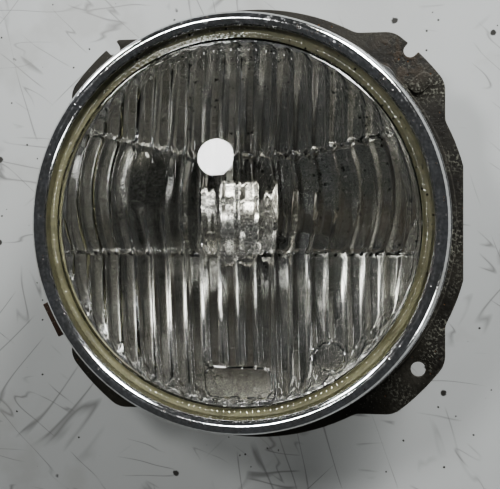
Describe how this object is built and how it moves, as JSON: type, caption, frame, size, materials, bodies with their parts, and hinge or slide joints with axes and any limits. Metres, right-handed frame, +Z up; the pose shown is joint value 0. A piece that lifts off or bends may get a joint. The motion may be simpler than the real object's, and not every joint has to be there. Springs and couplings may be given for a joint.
{
  "type": "fog light",
  "caption": "Round fog lamp: fluted glass lens in a chromed rim, reflector and bulb, tilted by adjusting screws on a pressed steel carrier.",
  "frame": {"origin": "on the lamp's optical axis, in the plane of the carrier's rear face", "axes": "the lens faces -Y, +Y goes rearwards through the bodywork, +Z is up and +X is to the right seen from the front"},
  "size_m": [0.1604, 0.089, 0.1632],
  "materials": {
    "carrier_steel": "worn black paint with pale corrosion flecks",
    "zinc_steel": "dull zinc plating",
    "rusty_steel": "rusted thin steel",
    "white_nylon": "aged natural nylon",
    "black_nylon": "moulded black nylon",
    "spring_steel": "plain spring wire",
    "lens_glass": "clear pressed glass with a fluted back",
    "olive_rubber": "aged olive rubber",
    "rim_chrome": "pitted bright chrome",
    "bright_aluminising": "vacuum aluminised steel",
    "shield_metal": "bright pressed sheet",
    "bulb_glass": "clear quartz",
    "nickel": "dull nickel plating",
    "insulator": "cream insulating compound",
    "spade_brass": "plain brass strip",
    "tungsten": "drawn wire"
  },
  "bodies": {
    "carrier": {"carrier_plate": "carrier_steel", "pivot_stud": "zinc_steel", "pitch_bush": "white_nylon", "yaw_bush": "white_nylon"},
    "ball_cup": {"pivot_cup": "white_nylon"},
    "pitch_adjuster": {"pitch_screw": "zinc_steel", "pitch_e_clip": "spring_steel", "pitch_knob": "black_nylon"},
    "yaw_adjuster": {"yaw_screw": "zinc_steel", "yaw_e_clip": "spring_steel", "yaw_knob": "black_nylon"},
    "pitch_ball_nut": {"pitch_nut": "white_nylon"},
    "yaw_ball_nut": {"yaw_nut": "white_nylon"},
    "clip": {"bulb_clip": "spring_steel"},
    "lamp": {"pivot_socket": "black_nylon", "pitch_socket": "black_nylon", "yaw_socket": "black_nylon", "support_ring": "zinc_steel", "lens": "lens_glass", "lens_gasket": "olive_rubber", "rim": "rim_chrome", "rim_clips": "spring_steel", "rim_clamp": "rusty_steel", "clamp_screw": "zinc_steel", "reflector": "bright_aluminising", "glare_shield": "shield_metal", "shield_stand": "spring_steel", "bulb_seat": "zinc_steel", "seat_rivets": "shield_metal", "earth_terminal": "spade_brass", "bulb_glass": "bulb_glass", "bulb_stem": "bulb_glass", "filament": "tungsten", "filament_posts": "tungsten", "bulb_base": "nickel", "bulb_insulator": "insulator", "bulb_terminal": "spade_brass"}
  },
  "joints": [
    {"name": "pitch_screw_turn", "type": "hinge", "parent": "carrier", "child": "pitch_adjuster", "pos_m": [-0.05, -0.0145, -0.05], "axis": [0, 1, 0], "range_deg": [-1964, 1964]},
    {"name": "pitch_nut_travel", "type": "slide", "parent": "carrier", "child": "pitch_ball_nut", "axis": [0, 1, 0], "range_m": [-0.0045, 0.0045]},
    {"name": "aim_pitch", "type": "hinge", "parent": "carrier", "child": "ball_cup", "pos_m": [-0.05, -0.0145, 0.05], "axis": [1, 0, 0], "range_deg": [-2.5, 2.5]},
    {"name": "yaw_screw_turn", "type": "hinge", "parent": "carrier", "child": "yaw_adjuster", "pos_m": [0.05, -0.0145, 0.05], "axis": [0, 1, 0], "range_deg": [-1964, 1964]},
    {"name": "yaw_nut_travel", "type": "slide", "parent": "carrier", "child": "yaw_ball_nut", "axis": [0, 1, 0], "range_m": [-0.0045, 0.0045]},
    {"name": "aim_yaw", "type": "hinge", "parent": "ball_cup", "child": "lamp", "pos_m": [-0.05, -0.0145, 0.05], "axis": [0, 0, 1], "range_deg": [-2.5, 2.5]},
    {"name": "clip_swing", "type": "hinge", "parent": "lamp", "child": "clip", "pos_m": [0, 0.02755, 0.0155], "axis": [1, 0, 0], "range_deg": [0, 110]}
  ],
  "couplings": [
    {"joint": "pitch_nut_travel", "follows": "aim_pitch", "m_per_rad": 0.1},
    {"joint": "pitch_screw_turn", "follows": "aim_pitch", "ratio": -785.4},
    {"joint": "yaw_nut_travel", "follows": "aim_yaw", "m_per_rad": 0.1},
    {"joint": "yaw_screw_turn", "follows": "aim_yaw", "ratio": -785.4}
  ]
}
